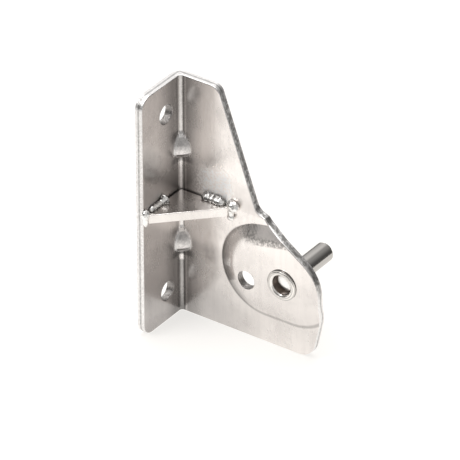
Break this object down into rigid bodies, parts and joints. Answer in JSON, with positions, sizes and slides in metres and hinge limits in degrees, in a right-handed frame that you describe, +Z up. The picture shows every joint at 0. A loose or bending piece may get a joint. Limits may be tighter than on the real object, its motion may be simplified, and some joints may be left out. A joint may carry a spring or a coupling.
{
  "type": "refrigerator door hinge",
  "caption": "Folded steel refrigerator door hinge bracket with a raised drilled pad, a riveted hinge pin behind it and a gusset plate welded across the fold.",
  "frame": {"origin": "outer face of the mounting flange, midway between its two bolt holes", "axes": "+X from the flange along the plate, +Y along the hinge pin towards its free end, +Z up the fold, as the bracket stands in the picture"},
  "size_m": [0.0811, 0.0621, 0.125],
  "materials": {
    "plated_sheet": "bright zinc plate over rolled and pressed sheet, satin",
    "plated_gusset": "bright zinc plate over sheared sheet, satin",
    "turned_steel": "turned and plated, polished",
    "weld_metal": "plated weld bead, rippled"
  },
  "bodies": {
    "root": {"bracket": "plated_sheet", "gusset_plate": "plated_gusset", "hinge_pin": "turned_steel", "weld_plate_bead": "weld_metal", "weld_flange_bead": "weld_metal", "weld_plate_corner": "weld_metal", "weld_flange_corner": "weld_metal"}
  },
  "joints": []
}
